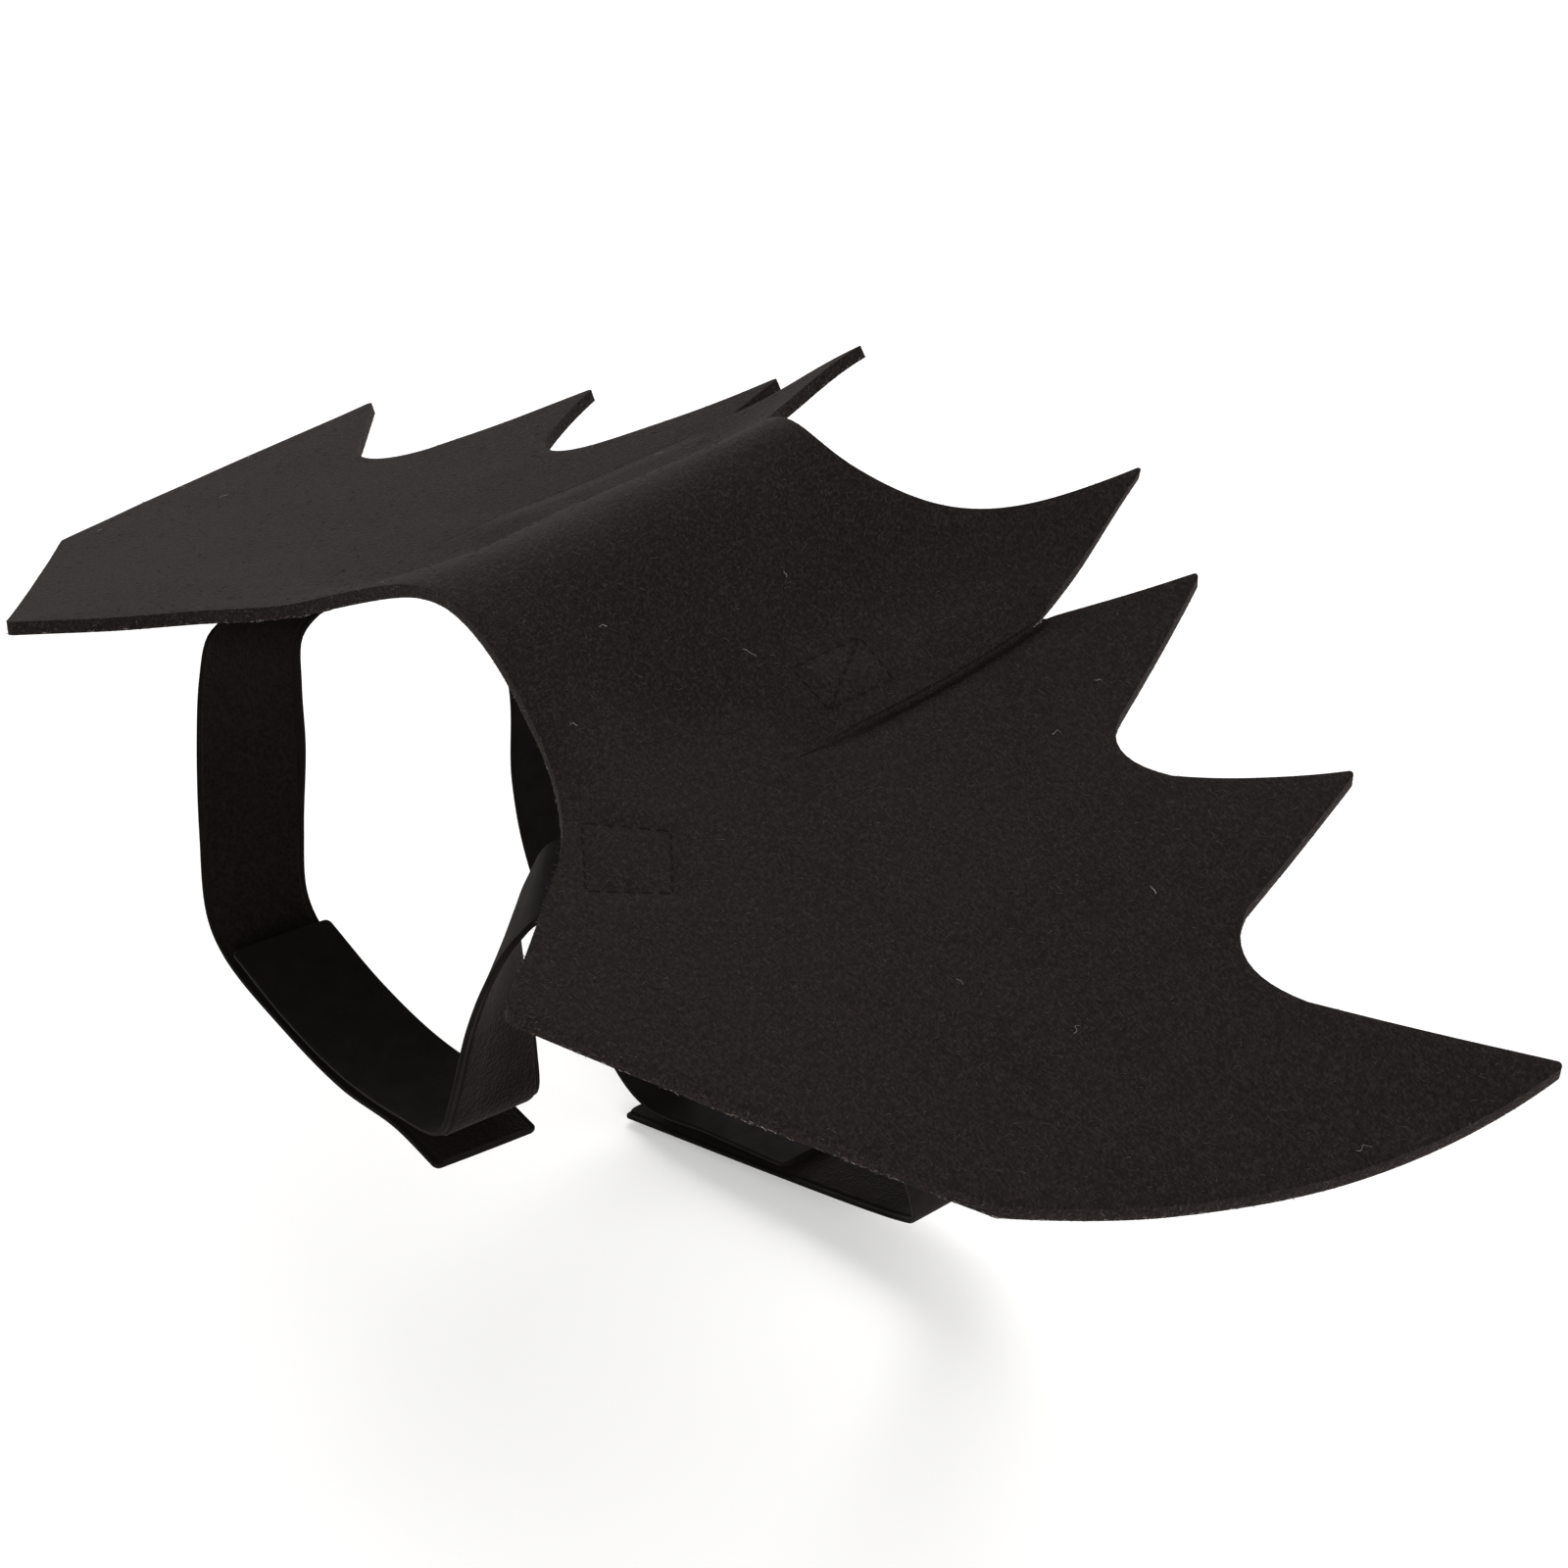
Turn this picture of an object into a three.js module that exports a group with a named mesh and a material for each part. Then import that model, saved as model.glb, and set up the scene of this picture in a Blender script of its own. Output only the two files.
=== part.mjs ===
// Bat wings for a small pet: one felt sheet with two wings, arched over the back, and two strap loops.
// Millimetres. +Z is up, the head is towards -Y, and +X is the wearer's left.
// The origin is the underside of the felt on the middle of the ridge, where it lies on the back.

import * as THREE from "three";

// Materials and walls
const FELT = 3.0; // thickness of the felt
const STRAP = 1.8; // thickness of the strap tape
const SEWN_GAP = 0.7; // clearance between a strap end and the felt over it
const LAP_CLEAR = 3.0; // how far before the lap a strap begins to pass under it
const FACET = 6.5; // side of the triangles on the felt
const EDGE_STEP = 6.5; // spacing of points along a cut edge

// The ridge over the back, and the two flat wings beside it
const RIDGE_HEIGHT = 1.55; // middle of the felt at the origin
const RIDGE_RISE = 0.2; // climb of the ridge towards the tail, per millimetre
const PANEL_FLARE = 0.0012; // how the panel beside the ridge flattens outwards, per square millimetre
const WING_ROOT_X = 66.5; // where the height of the wing is given
const WING_HEIGHT = -27.9; // middle of the felt there, beside the origin
const WING_DROOP = 0.222; // fall of the wing outwards, per millimetre
const WING_PITCH = 0.078; // rise of the wing towards the tail, per millimetre
const WING_CURL = 0.00086; // upward curl towards both edges of the wing
const FOLD_BLEND = 3.0; // softness of the fold where the body panel turns into the wing

// How the felt falls from the ridge: flat over the neck, and over a sharper ridge towards the tail
const PANEL_FALL = [
  { y: -47, slope: 0.62, ridgeRound: 27.3 },
  { y: -15, slope: 0.875, ridgeRound: 22.4 },
  { y: 45, slope: 0.787, ridgeRound: 8.8 },
  { y: 104, slope: 0.566, ridgeRound: 8 },
];

// The dart: a slit from the first notch, with the body panel lapped over the wing
const SEAM_X = 66.0; // distance of the slit from the ridge
const SEAM_BOW = 0.0008; // how the slit curves in towards the tail
const DART_APEX_Y = -4.0;
const DART_MOUTH_Y = 61.0;
const SLIT = 0.4; // width of the cut
const LAP_RISE = 3.5; // height of the upper layer over the lower one
const LAP_RAMP = 18.0; // length over which the upper layer climbs from the apex
const LAP_START_Y = 10.5; // where the wing begins to reach under the panel
const LAP_END_Y = 58.0; // where the cut edge of the wing ends under the panel
const LAP_WIDTH = 14.0; // how far the wing reaches under the panel there

// Cut edge of one wing, seen from above, from the neck round to the tail.
// bulge is the rise of the arc to the next corner over its chord, positive where it cuts into the felt.
const CUT_EDGE = [
  { corner: "neck_middle", x: 0, y: -42.6, bulge: 0.025 },
  { corner: "neck_curve_start", x: 36.2, y: -46.5, bulge: 0.075 },
  { corner: "neck_curve_end", x: 70, y: -63, bulge: 0 },
  { corner: "front_corner", x: 100.3, y: -94.4, bulge: 0 },
  { corner: "outer_corner", x: 176.5, y: -46.3, bulge: -0.08 },
  { corner: "wing_tip", x: 207.4, y: 60.7, bulge: 0 },
  { corner: "outer_notch_start", x: 169.2, y: 33.6, bulge: 0.24 },
  { corner: "outer_notch_end", x: 145.6, y: 41, bulge: 0 },
  { corner: "third_point", x: 132.5, y: 83, bulge: 0.03 },
  { corner: "inner_notch_start", x: 111, y: 53.6, bulge: 0.3 },
  { corner: "inner_notch_end", x: 91.4, y: 58.8, bulge: 0 },
  { corner: "second_point", x: 72.4, y: 97.1, bulge: 0 },
  { corner: "lap_crossing", x: 61.6, y: 63.9, bulge: 0.18 },
  { corner: "lap_end", x: 49.6, y: LAP_END_Y, bulge: 0 },
];
const PANEL_EDGE = [
  { corner: "panel_corner", x: 62.7, y: DART_MOUTH_Y, bulge: 0 },
  { corner: "first_point", x: 47.2, y: 103.2, bulge: 0.042 },
  { corner: "tail_curve_start", x: 38.1, y: 73.4, bulge: 0.078 },
  { corner: "tail_curve_end", x: 14.7, y: 48.6, bulge: 0.06 },
  { corner: "tail_middle", x: 0, y: 45, bulge: 0 },
];

// Straps, a row for each section: the edge nearer the head and the edge nearer the tail.
// A point of two numbers lies sewn against the underside of the felt, one of three hangs free.
const NECK_LEFT = [
  { head: [91.8, -53.4], tail: [73.8, -38.9] },
  { head: [86.8, -59.6], tail: [68.8, -45.1] },
  { head: [81.8, -65.8], tail: [63.8, -51.3] },
  { head: [77, -71, -35], tail: [59.5, -56.5, -31] },
  { head: [73, -74, -40], tail: [53.5, -58, -40] },
  { head: [66, -76, -51], tail: [48, -58, -51] },
  { head: [58, -76.5, -66], tail: [45.5, -56, -65] },
  { head: [50, -77, -87], tail: [45, -53.5, -85] },
  { head: [44.5, -77, -96.5], tail: [43.5, -53, -96.5] },
  { head: [27, -77, -101], tail: [27, -53, -101] },
  { head: [5, -77, -103], tail: [5, -53, -103] },
  { head: [-18, -77, -100.6], tail: [-18, -53, -100.6] },
  { head: [-40, -77, -95], tail: [-40, -53, -95] },
];
const NECK_RIGHT = [
  { head: [-80, -45.9], tail: [-60.3, -33] },
  { head: [-77, -50.5], tail: [-57.3, -37.6] },
  { head: [-74, -55.2], tail: [-54.3, -42.3] },
  { head: [-72.9, -60, -36.2], tail: [-52, -48, -31.8] },
  { head: [-72.6, -63, -45.3], tail: [-50.3, -50, -42.3] },
  { head: [-69.5, -66.5, -58.5], tail: [-48.7, -51, -56] },
  { head: [-60, -72.5, -75.4], tail: [-49, -52.5, -75] },
  { head: [-51.5, -76.5, -90.5], tail: [-48, -53.5, -91] },
  { head: [-44, -77, -97], tail: [-43, -53, -98] },
  { head: [-18, -77, -103.3], tail: [-18, -53, -103.3] },
  { head: [5, -77, -105.6], tail: [5, -53, -105.6] },
  { head: [27, -77, -103.7], tail: [27, -53, -103.7] },
  { head: [43.5, -77.5, -104.6], tail: [43, -53, -105.4] },
];
const BELLY_LEFT = [
  { head: [46, 3], tail: [46, 28] },
  { head: [53, 3], tail: [53, 28] },
  { head: [60, 3], tail: [60, 28] },
  { head: [64, 5, -39], tail: [64, 29.5, -36] },
  { head: [63.5, 10, -65], tail: [63.5, 34.5, -61] },
  { head: [64, 14, -90], tail: [64, 38.5, -86] },
  { head: [62, 20, -115], tail: [62, 44.5, -111] },
  { head: [54, 37, -156], tail: [54, 61.5, -153] },
  { head: [50.4, 40.4, -164], tail: [50.4, 64.9, -161.6] },
  { head: [44, 41.6, -167.6], tail: [44, 66.1, -165.6] },
  { head: [34, 40.2, -169.7], tail: [34, 64.7, -167.7] },
  { head: [2, 35, -174.5], tail: [2, 59.5, -172.5] },
  { head: [-44, 26.5, -180], tail: [-44, 51, -178] },
];
const BELLY_RIGHT = [
  { head: [-46, 3], tail: [-46, 28] },
  { head: [-53, 3], tail: [-53, 28] },
  { head: [-60, 3], tail: [-60, 28] },
  { head: [-63.5, 5, -39], tail: [-63.5, 29.5, -36] },
  { head: [-62, 9.6, -65], tail: [-62, 34, -61] },
  { head: [-62, 9.3, -89], tail: [-62, 34, -85] },
  { head: [-60, 12, -113], tail: [-60, 36.5, -109] },
  { head: [-49, 23.6, -161], tail: [-49, 48.1, -158] },
  { head: [-39, 28, -174.5], tail: [-39, 52.5, -172.5] },
  { head: [-16, 32, -172.9], tail: [-16, 56.5, -170.9] },
  { head: [8, 36, -170.9], tail: [8, 60.5, -168.9] },
];
const STRAP_STEPS = 4; // sections between two rows

// A smooth step from 0 at one value to 1 at another.
const ease = (from, to, value) => THREE.MathUtils.smoothstep(value, from, to);

// Distance of the slit, or of the line that it would follow, from the ridge.
const seamX = (y) => SEAM_X - SEAM_BOW * y * y;

// The fall of the panel at one place along the ridge, eased between the rows of the table.
function panelFall(y) {
  const last = PANEL_FALL.length - 1;
  const next = PANEL_FALL.findIndex((row) => y < row.y);
  const upper = next < 0 ? last : Math.max(next, 1);
  const from = PANEL_FALL[upper - 1];
  const to = PANEL_FALL[upper];
  const t = ease(from.y, to.y, y);
  return {
    slope: THREE.MathUtils.lerp(from.slope, to.slope, t),
    ridgeRound: THREE.MathUtils.lerp(from.ridgeRound, to.ridgeRound, t),
  };
}

// Height of the panel layer over the wing layer: nothing at the apex of the dart, then a whole lap.
const lapRise = (y) => LAP_RISE * ease(DART_APEX_Y, DART_APEX_Y + LAP_RAMP, y);

// How far the wing is drawn in under the panel when the slit is lapped.
const lapReach = (y) => (LAP_WIDTH * Math.max(y - LAP_START_Y, 0)) / (LAP_END_Y - LAP_START_Y);

// Middle of the felt: from the ridge down the panel, then out along the wing.
// The panel is the upper layer of the lap, the wing the lower one.
function feltHeight(x, y, isPanel) {
  const { slope, ridgeRound } = panelFall(y);
  const reach = Math.hypot(x, ridgeRound) - ridgeRound;
  const fall = slope * reach - PANEL_FLARE * reach * reach;
  const panel = RIDGE_HEIGHT + RIDGE_RISE * y - fall - lapRise(y);
  const outward = WING_DROOP * (Math.abs(x) - WING_ROOT_X);
  const wing = WING_HEIGHT - outward + WING_PITCH * y + WING_CURL * y * y;
  const lower = (panel + wing + Math.hypot(panel - wing, FOLD_BLEND)) / 2;
  return isPanel ? lower + lapRise(y) : lower;
}

// A point at a given height off the middle of the felt, square to it.
function offFelt(x, y, isPanel, offset) {
  const d = 0.5;
  const slopeX = (feltHeight(x + d, y, isPanel) - feltHeight(x - d, y, isPanel)) / (2 * d);
  const slopeY = (feltHeight(x, y + d, isPanel) - feltHeight(x, y - d, isPanel)) / (2 * d);
  const normal = new THREE.Vector3(-slopeX, -slopeY, 1).normalize();
  return new THREE.Vector3(x, y, feltHeight(x, y, isPanel)).addScaledVector(normal, offset);
}

// Points of a row of corners joined by arcs, without the last corner.
function edgePoints(corners) {
  return corners.slice(0, -1).flatMap((from, i) => {
    const start = new THREE.Vector2(from.x, from.y);
    const end = new THREE.Vector2(corners[i + 1].x, corners[i + 1].y);
    const chord = end.clone().sub(start);
    const across = new THREE.Vector2(-chord.y, chord.x);
    const pull = start.clone().lerp(end, 0.5).addScaledVector(across, 2 * from.bulge);
    const count = Math.max(1, Math.round(chord.length() / EDGE_STEP));
    return new THREE.QuadraticBezierCurve(start, pull, end).getPoints(count).slice(0, -1);
  });
}

// Points along one side of the slit, from the apex to the end of the lap, on the seam line moved sideways.
function slitPoints(sideways) {
  const count = Math.round((LAP_END_Y - DART_APEX_Y) / EDGE_STEP);
  return Array.from({ length: count }, (_, i) => {
    const y = THREE.MathUtils.lerp(DART_APEX_Y, LAP_END_Y, (i + 1) / count);
    return new THREE.Vector2(seamX(y) + sideways, y);
  });
}

// The flat cut of one side, from the neck round the wing, along the slit and back along the ridge.
// The wing is moved out again by what the lap draws in.
function flatSide() {
  const wing = edgePoints(CUT_EDGE).map((p) => new THREE.Vector2(p.x + lapReach(p.y), p.y));
  const apex = new THREE.Vector2(seamX(DART_APEX_Y), DART_APEX_Y);
  const slit = [...slitPoints(SLIT / 2).reverse(), apex, ...slitPoints(-SLIT / 2)];
  const ridge = [PANEL_EDGE[PANEL_EDGE.length - 1], CUT_EDGE[0]].map((end) => ({ ...end, bulge: 0 }));
  return [...wing, ...slit, ...edgePoints(PANEL_EDGE), ...edgePoints(ridge)];
}

// Whether a point lies inside a closed outline.
function inside(outline, p) {
  let crossings = 0;
  outline.forEach((a, i) => {
    const b = outline[(i + 1) % outline.length];
    if (a.y > p.y !== b.y > p.y && p.x < a.x + ((p.y - a.y) * (b.x - a.x)) / (b.y - a.y)) crossings += 1;
  });
  return crossings % 2 === 1;
}

// Even rows of points inside an outline, clear of its edge.
function latticePoints(outline) {
  const { min, max } = new THREE.Box2().setFromPoints(outline);
  const rowStep = (FACET * Math.sqrt(3)) / 2;
  const points = [];
  for (let row = 0; min.y + row * rowStep < max.y; row += 1) {
    for (let x = min.x + (row % 2) * (FACET / 2); x < max.x; x += FACET) {
      const p = new THREE.Vector2(x, min.y + row * rowStep);
      const isClear = outline.every((q) => p.distanceTo(q) > 0.6 * FACET);
      if (isClear && inside(outline, p)) points.push(p);
    }
  }
  return points;
}

// A triangle of three numbered points, with the circle through its corners.
function circled(points, corners) {
  const [a, b, c] = corners.map((i) => points[i]);
  const ab = b.clone().sub(a);
  const ac = c.clone().sub(a);
  const scale = 0.5 / ab.cross(ac);
  const toCentre = new THREE.Vector2(
    scale * (ac.y * ab.lengthSq() - ab.y * ac.lengthSq()),
    scale * (ab.x * ac.lengthSq() - ac.x * ab.lengthSq()),
  );
  return { corners, centre: a.clone().add(toCentre), radius: toCentre.length() };
}

// Joins points into triangles, so that no point lies inside the circle of a triangle.
function delaunay(points) {
  const far = 1e4;
  const frame = [new THREE.Vector2(-far, -far), new THREE.Vector2(far, -far), new THREE.Vector2(0, far)];
  const all = [...points, ...frame];
  const first = points.length;
  let triangles = [circled(all, [first, first + 1, first + 2])];
  points.forEach((p, k) => {
    const rim = new Map();
    const kept = [];
    for (const triangle of triangles) {
      if (p.distanceTo(triangle.centre) > triangle.radius) {
        kept.push(triangle);
        continue;
      }
      triangle.corners.forEach((a, i) => {
        const b = triangle.corners[(i + 1) % 3];
        if (!rim.delete(`${b} ${a}`)) rim.set(`${a} ${b}`, [a, b, k]);
      });
    }
    triangles = [...kept, ...Array.from(rim.values(), (corners) => circled(all, corners))];
  });
  return triangles.map((triangle) => triangle.corners).filter((corners) => Math.max(...corners) < first);
}

// The felt: both sides of the flat cut in even triangles, laid over the back and given a thickness.
function feltGeometry() {
  const outline = flatSide();
  const side = [...outline, ...latticePoints(outline)];
  const sideFaces = delaunay(side).filter((corners) => {
    const middle = corners.reduce((sum, i) => sum.addScaledVector(side[i], 1 / 3), new THREE.Vector2());
    return inside(outline, middle);
  });
  const flat = [...side];
  const twin = side.map((p, i) => (p.x === 0 ? i : flat.push(new THREE.Vector2(-p.x, p.y)) - 1));
  const mirrored = sideFaces.map((corners) => corners.map((i) => twin[i]).reverse());
  const faces = [...sideFaces, ...mirrored];
  const laid = (p, offset) => {
    const isPanel = Math.abs(p.x) < seamX(p.y);
    const x = isPanel ? p.x : Math.sign(p.x) * (Math.abs(p.x) - lapReach(p.y));
    return offFelt(x, p.y, isPanel, offset);
  };
  const places = [...flat.map((p) => laid(p, FELT / 2)), ...flat.map((p) => laid(p, -FELT / 2))];
  const under = flat.length;
  const rim = new Map();
  const index = [];
  for (const corners of faces) {
    const [a, b, c] = corners;
    index.push(a, b, c, under + c, under + b, under + a);
    corners.forEach((from, i) => {
      const to = corners[(i + 1) % 3];
      if (!rim.delete(`${to} ${from}`)) rim.set(`${from} ${to}`, [from, to]);
    });
  }
  for (const [from, to] of rim.values()) {
    index.push(from, under + from, under + to, from, under + to, to);
  }
  return solid(places, index);
}

// A closed solid from its corners and its triangles.
function solid(places, index) {
  const geometry = new THREE.BufferGeometry().setFromPoints(places);
  geometry.setIndex(index);
  geometry.computeVertexNormals();
  return geometry;
}

// A strap edge point: sewn under the lowest layer of felt, or hanging free.
function strapPoint(place) {
  if (place.length === 3) return new THREE.Vector3(...place);
  const [x, y] = place;
  const isPanel = Math.abs(x) < seamX(y) - lapReach(y) - LAP_CLEAR;
  return offFelt(x, y, isPanel, -(FELT + STRAP) / 2 - SEWN_GAP);
}

// A flat tape between two edge curves, with its thickness square to both.
function strapGeometry(rows) {
  const headCurve = new THREE.CatmullRomCurve3(rows.map((row) => strapPoint(row.head)));
  const tailCurve = new THREE.CatmullRomCurve3(rows.map((row) => strapPoint(row.tail)));
  const steps = (rows.length - 1) * STRAP_STEPS;
  const corners = [];
  for (let i = 0; i <= steps; i += 1) {
    const t = i / steps;
    const head = headCurve.getPoint(t);
    const tail = tailCurve.getPoint(t);
    const along = headCurve.getTangent(t).add(tailCurve.getTangent(t));
    const half = new THREE.Vector3().subVectors(tail, head).cross(along).setLength(STRAP / 2);
    corners.push(head.clone().add(half), tail.clone().add(half));
    corners.push(tail.clone().sub(half), head.clone().sub(half));
  }
  const faces = [0, 2, 1, 0, 3, 2];
  for (let i = 0; i < steps; i += 1) {
    for (let side = 0; side < 4; side += 1) {
      const a = 4 * i + side;
      const b = 4 * i + ((side + 1) % 4);
      faces.push(a, b, a + 4, b, b + 4, a + 4);
    }
  }
  const end = 4 * steps;
  faces.push(end, end + 1, end + 2, end, end + 2, end + 3);
  return solid(corners, faces);
}

function mesh(name, geometry, color, roughness) {
  const material = new THREE.MeshStandardMaterial({ color, roughness, metalness: 0 });
  const piece = new THREE.Mesh(geometry, material);
  piece.name = name;
  return piece;
}

const FELT_BLACK = 0x2a2726;
const TAPE_BLACK = 0x171414;

const batWings = new THREE.Group();
batWings.name = "bat_wings";
batWings.add(mesh("wing_felt", feltGeometry(), FELT_BLACK, 0.95));
const straps = {
  neck_strap_left: NECK_LEFT,
  neck_strap_right: NECK_RIGHT,
  belly_strap_left: BELLY_LEFT,
  belly_strap_right: BELLY_RIGHT,
};
for (const [name, rows] of Object.entries(straps)) {
  batWings.add(mesh(name, strapGeometry(rows), TAPE_BLACK, 0.8));
}

export default batWings;
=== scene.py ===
# %% [markdown]
# Felt bat wings for a small pet
#
# This lesson dresses a plain solid model of a pair of felt wings until it looks like the worn object.
# The solid model is loaded first as a fixed frame. It gives every size and place, and is never moved.
# Each cell below makes one piece or one finish, and prints what it made.

# %% Load the solid model as a fixed frame
import math
from collections import namedtuple

import bpy
import numpy as np
from mathutils import Matrix, Vector, geometry, noise


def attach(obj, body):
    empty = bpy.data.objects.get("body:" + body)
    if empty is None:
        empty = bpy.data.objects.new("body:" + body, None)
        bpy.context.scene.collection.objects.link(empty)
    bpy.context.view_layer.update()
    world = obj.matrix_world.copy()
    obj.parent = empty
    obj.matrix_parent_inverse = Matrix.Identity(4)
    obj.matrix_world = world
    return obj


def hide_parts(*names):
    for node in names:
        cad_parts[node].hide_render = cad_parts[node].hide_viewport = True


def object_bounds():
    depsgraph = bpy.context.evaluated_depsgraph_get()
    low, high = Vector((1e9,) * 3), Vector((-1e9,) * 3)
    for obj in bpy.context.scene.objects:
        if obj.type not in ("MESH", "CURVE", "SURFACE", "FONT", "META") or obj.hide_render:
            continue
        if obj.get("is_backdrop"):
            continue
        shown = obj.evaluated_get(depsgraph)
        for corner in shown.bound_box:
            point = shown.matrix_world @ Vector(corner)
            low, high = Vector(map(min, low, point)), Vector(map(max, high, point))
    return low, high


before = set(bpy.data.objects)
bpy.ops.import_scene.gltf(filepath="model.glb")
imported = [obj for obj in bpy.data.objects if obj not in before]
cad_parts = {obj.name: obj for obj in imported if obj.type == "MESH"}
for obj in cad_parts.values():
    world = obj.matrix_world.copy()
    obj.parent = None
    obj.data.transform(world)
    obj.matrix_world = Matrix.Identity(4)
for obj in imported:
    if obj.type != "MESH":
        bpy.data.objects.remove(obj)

MM = 0.001
cad_low, cad_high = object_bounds()
print("nodes", sorted(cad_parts))
print("solid model in mm", [round((high - low) / MM, 1) for low, high in zip(cad_low, cad_high)])

# %% [markdown]
# The camera
#
# A product picture is taken with a long lens from a little above, so that the wings don't look stretched.
# The camera comes first, so that each new piece can be judged from the same side at once.
# Its direction is given by two angles, and the lens by its focal length in pixels of the square picture.

# %% Place the camera
CAMERA_PLACE = Vector((505.8, -340.6, 256.6)) * MM
CAMERA_AZIMUTH = math.radians(52.85)
CAMERA_ELEVATION = math.radians(27.55)
FOCAL_PIXELS = 3250
PICTURE_PIXELS = 1600
SENSOR = 36.0

bpy.ops.object.select_all(action="DESELECT")
tilt = (math.pi / 2 - CAMERA_ELEVATION, 0, CAMERA_AZIMUTH)
bpy.ops.object.camera_add(location=CAMERA_PLACE, rotation=tilt)
camera = bpy.context.object
camera.data.sensor_width = SENSOR
camera.data.lens = SENSOR * FOCAL_PIXELS / PICTURE_PIXELS
bpy.context.scene.camera = camera
print("lens in mm", round(camera.data.lens, 2))

# %% [markdown]
# Floor and light
#
# Black felt on a white ground needs large soft lights: small ones would leave it a flat hole in the picture.
# A wide lamp above and behind skims the far wing, so that its fibres catch the light.
# A low one at the side opens the shadows on the body panel and the straps. The sky is an even pale grey.

# %% Make the floor and the lamps
FLOOR_DROP = 1.0 * MM
FLOOR_SIDE = 8.0
Lamp = namedtuple("Lamp", "name place side power")
LAMPS = [
    Lamp("back_softbox", (-1.8, 1.05, 1.3), 2.0, 45.0),
    Lamp("side_softbox", (2.2, -0.6, 0.4), 1.6, 68.0),
]
LAMP_AIM = Vector((0, 0, -0.05))

bpy.ops.mesh.primitive_plane_add(size=FLOOR_SIDE, location=(0, 0, 0))
floor = bpy.context.object
floor.name = "studio_floor"
floor.location.z = cad_low[2] - FLOOR_DROP
bpy.ops.object.transform_apply(location=True, rotation=True, scale=True)
floor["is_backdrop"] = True

for lamp in LAMPS:
    aim = LAMP_AIM - Vector(lamp.place)
    turn = aim.to_track_quat("-Z", "Y").to_euler()
    bpy.ops.object.light_add(type="AREA", location=lamp.place, rotation=turn)
    bpy.context.object.name = lamp.name
    bpy.context.object.data.size = lamp.side
    bpy.context.object.data.energy = lamp.power

SKY_STRENGTH = 0.62
SKY_COLOUR = (1.0, 0.995, 0.985, 1)
sky = bpy.data.worlds.new("studio_sky")
sky.use_nodes = True
background = sky.node_tree.nodes["Background"]
background.inputs["Color"].default_value = SKY_COLOUR
background.inputs["Strength"].default_value = SKY_STRENGTH
bpy.context.scene.world = sky
bpy.context.scene.view_settings.view_transform = "Standard"
print("floor at z in mm", round((cad_low[2] - FLOOR_DROP) / MM, 1), "and lamps", len(LAMPS))

# %% [markdown]
# The flat cut
#
# The real wings are one sheet of felt, cut flat with a blade along a scalloped outline.
# On each side a slit runs in from the first notch. Lapping its edges makes a dart, which sets the wing out.
# A cutter draws such an outline as corners joined by shallow arcs, so that is how it is written here.
# Another way is to trace a picture of it, but a table of named corners is easier to change.

# %% Corners of the cut edge, in millimetres
EDGE_STEP = 2.0  # distance between the points of the outline
DART_APEX_Y = -4.0
DART_MOUTH_Y = 61.0
SLIT = 0.4  # width of the slit in the flat cut
SEAM_X = 66.0  # distance of the slit from the ridge
SEAM_BOW = 0.0008  # how the slit curves in towards the tail
LAP_START_Y = 10.5
LAP_END_Y = 58.0
LAP_WIDTH = 14.0  # how far the edges of the slit lap over each other at the end

Corner = namedtuple("Corner", "name x y bulge")
CUT_EDGE = [
    Corner("neck_middle", 0, -42.6, 0.025),
    Corner("neck_curve_start", 36.2, -46.5, 0.075),
    Corner("neck_curve_end", 70, -63, 0),
    Corner("front_corner", 100.3, -94.4, 0),
    Corner("outer_corner", 176.5, -46.3, -0.08),
    Corner("wing_tip", 207.4, 60.7, 0),
    Corner("outer_notch_start", 169.2, 33.6, 0.24),
    Corner("outer_notch_end", 145.6, 41, 0),
    Corner("third_point", 132.5, 83, 0.03),
    Corner("inner_notch_start", 111, 53.6, 0.3),
    Corner("inner_notch_end", 91.4, 58.8, 0),
    Corner("second_point", 72.4, 97.1, 0),
    Corner("lap_crossing", 61.6, 63.9, 0.18),
    Corner("lap_end", 49.6, LAP_END_Y, 0),
]
PANEL_EDGE = [
    Corner("panel_corner", 62.7, DART_MOUTH_Y, 0),
    Corner("first_point", 47.2, 103.2, 0.042),
    Corner("tail_curve_start", 38.1, 73.4, 0.078),
    Corner("tail_curve_end", 14.7, 48.6, 0.06),
    Corner("tail_middle", 0, 45, 0),
]
print("corners of the cut edge", len(CUT_EDGE) + len(PANEL_EDGE))


# %% Join the corners by arcs
def ease(start, end, value):
    """A smooth step from 0 at start to 1 at end."""
    part = min(max((value - start) / (end - start), 0), 1)
    return part * part * (3 - 2 * part)


def seam_x(y):
    """Distance of the slit, or of the line that it would follow, from the ridge."""
    return SEAM_X - SEAM_BOW * y * y


def lap_reach(y):
    """How far the wing is drawn in under the body panel."""
    return LAP_WIDTH * max(y - LAP_START_Y, 0) / (LAP_END_Y - LAP_START_Y)


def arcs(corners):
    """Points along a row of corners joined by arcs, without the last corner."""
    points = []
    for start, end in zip(corners, corners[1:]):
        chord = Vector((end.x - start.x, end.y - start.y))
        across = Vector((-chord.y, chord.x))
        steps = max(1, round(chord.length / EDGE_STEP))
        for i in range(steps):
            t = i / steps
            points.append(Vector((start.x, start.y)) + chord * t + across * 4 * start.bulge * t * (1 - t))
    return points


def slit_side(sideways):
    """Points along one side of the slit, from the apex to the end of the lap."""
    steps = round((LAP_END_Y - DART_APEX_Y) / EDGE_STEP)
    heights = [DART_APEX_Y + (LAP_END_Y - DART_APEX_Y) * (i + 1) / steps for i in range(steps)]
    return [Vector((seam_x(y) + sideways, y)) for y in heights]


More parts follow.
